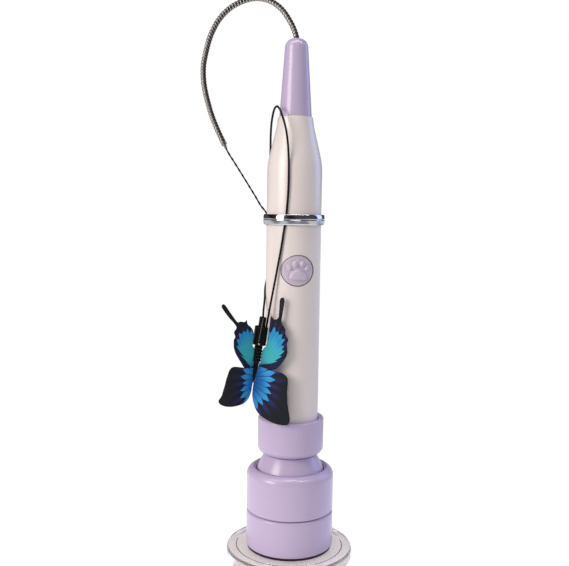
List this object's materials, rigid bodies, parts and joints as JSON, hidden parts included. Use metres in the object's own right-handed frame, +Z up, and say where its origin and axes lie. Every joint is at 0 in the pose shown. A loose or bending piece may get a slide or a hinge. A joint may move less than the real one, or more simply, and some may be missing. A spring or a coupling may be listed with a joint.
{
  "type": "butterfly teaser wand",
  "caption": "Round motor wand in a swivelling cup on a clear suction foot, with a paw button, an arched spring arm and a butterfly on a wire loop for a cat to chase.",
  "frame": {"origin": "middle of the suction pad's flat underside", "axes": "+Z up along the wand; -Y towards the side that the paw button faces; +X to the viewer's right"},
  "size_m": [0.0874, 0.071, 0.3096],
  "materials": {
    "clear_pvc": "clear soft plastic, glossy",
    "lilac_plastic": "satin to glossy lilac plastic",
    "pearl_plastic": "glossy pearl white plastic",
    "zinc_steel": "zinc-plated steel",
    "spring_steel": "bright spring steel",
    "natural_nylon": "uncoloured nylon",
    "contact_brass": "brass",
    "board_laminate": "green laminate",
    "black_plastic": "black plastic",
    "black_rubber": "black rubber",
    "black_coated_wire": "black-coated steel wire",
    "chrome_plate": "bright chrome plate",
    "fore_wing_film": "printed film, blue rays on navy",
    "hind_wing_film": "printed film, teal rays with a dark edge"
  },
  "bodies": {
    "foot": {"suction_pad": "clear_pvc", "base_plate": "lilac_plastic", "base_screws": "zinc_steel", "base_housing": "lilac_plastic", "thrust_washer": "natural_nylon"},
    "lock": {"lock_ring": "lilac_plastic"},
    "stud": {"pull_stud": "zinc_steel"},
    "holder": {"neck": "lilac_plastic", "stem_washer": "zinc_steel", "stem_screw": "zinc_steel", "wand_cup": "lilac_plastic", "cup_screws": "zinc_steel"},
    "wand": {"end_cap": "pearl_plastic", "bridge_contact": "contact_brass", "cells": "zinc_steel", "cell_carrier": "natural_nylon", "top_contacts": "contact_brass", "barrel": "pearl_plastic", "chassis": "natural_nylon", "circuit_board": "board_laminate", "board_screws": "zinc_steel", "tact_switch": "black_plastic", "motor": "zinc_steel", "gear_case": "natural_nylon", "gear_lid": "natural_nylon", "gear_pin": "zinc_steel", "shoulder": "pearl_plastic", "nose": "lilac_plastic", "nose_bush": "contact_brass"},
    "button": {"paw_button": "lilac_plastic", "switch_plunger": "natural_nylon"},
    "rotor": {"motor_pinion": "contact_brass"},
    "layshaft": {"compound_gear": "natural_nylon"},
    "arm": {"output_gear": "natural_nylon", "drive_shaft": "zinc_steel", "spindle": "natural_nylon", "grub_screw": "zinc_steel", "spring_arm": "spring_steel", "arm_core": "black_coated_wire", "end_ferrule": "spring_steel", "tether_line": "black_coated_wire", "line_eye": "zinc_steel", "butterfly_loop": "black_coated_wire", "clip": "black_rubber", "clip_pin": "zinc_steel"},
    "ring": {"guide_ring": "chrome_plate"},
    "butterfly": {"butterfly_body": "black_rubber"},
    "left_wings": {"left_fore_wing": "fore_wing_film", "left_hind_wing": "hind_wing_film"},
    "right_wings": {"right_fore_wing": "fore_wing_film", "right_hind_wing": "hind_wing_film"}
  },
  "joints": [
    {"name": "lock_turn", "type": "hinge", "parent": "foot", "child": "lock", "pos_m": [0, 0, 0.015], "axis": [0, 0, 1], "range_deg": [0, 90]},
    {"name": "stud_lift", "type": "slide", "parent": "foot", "child": "stud", "axis": [0, 0, 1], "range_m": [0, 0.0025]},
    {"name": "holder_swivel", "type": "hinge", "parent": "foot", "child": "holder", "pos_m": [0, 0, 0.045], "axis": [0, 0, 1], "continuous": true},
    {"name": "wand_lift", "type": "slide", "parent": "holder", "child": "wand", "axis": [0, 0, 1], "range_m": [0, 0.03]},
    {"name": "button_press", "type": "slide", "parent": "wand", "child": "button", "axis": [-0.165, 0.9863, 0], "range_m": [0, 0.0008], "stiffness_N_per_m": 1200},
    {"name": "arm_spin", "type": "hinge", "parent": "wand", "child": "arm", "pos_m": [0, 0, 0.2672], "axis": [0, 0, 1], "continuous": true},
    {"name": "rotor_spin", "type": "hinge", "parent": "wand", "child": "rotor", "pos_m": [0, 0, 0.2242], "axis": [0, 0, 1], "continuous": true},
    {"name": "layshaft_spin", "type": "hinge", "parent": "wand", "child": "layshaft", "pos_m": [0.00425, 0, 0.2272], "axis": [0, 0, 1], "continuous": true},
    {"name": "ring_spin", "type": "hinge", "parent": "wand", "child": "ring", "pos_m": [0, 0, 0.19], "axis": [0, 0, 1], "continuous": true},
    {"name": "butterfly_swing", "type": "hinge", "parent": "arm", "child": "butterfly", "pos_m": [-0.01795, -0.013, 0.1232], "axis": [0, 1, 0], "range_deg": [-4, 8]},
    {"name": "left_wing_flap", "type": "hinge", "parent": "butterfly", "child": "left_wings", "pos_m": [-0.01795, -0.013, 0.1232], "axis": [0.1392, 0, 0.9903], "range_deg": [-20, 25]},
    {"name": "right_wing_flap", "type": "hinge", "parent": "butterfly", "child": "right_wings", "pos_m": [-0.01795, -0.013, 0.1232], "axis": [-0.1392, 0, -0.9903], "range_deg": [0, 30]}
  ],
  "couplings": [
    {"joint": "stud_lift", "follows": "lock_turn", "m_per_rad": 0.0015915},
    {"joint": "layshaft_spin", "follows": "arm_spin", "ratio": -2.4},
    {"joint": "rotor_spin", "follows": "arm_spin", "ratio": 5.76},
    {"joint": "ring_spin", "follows": "arm_spin", "ratio": 1}
  ]
}
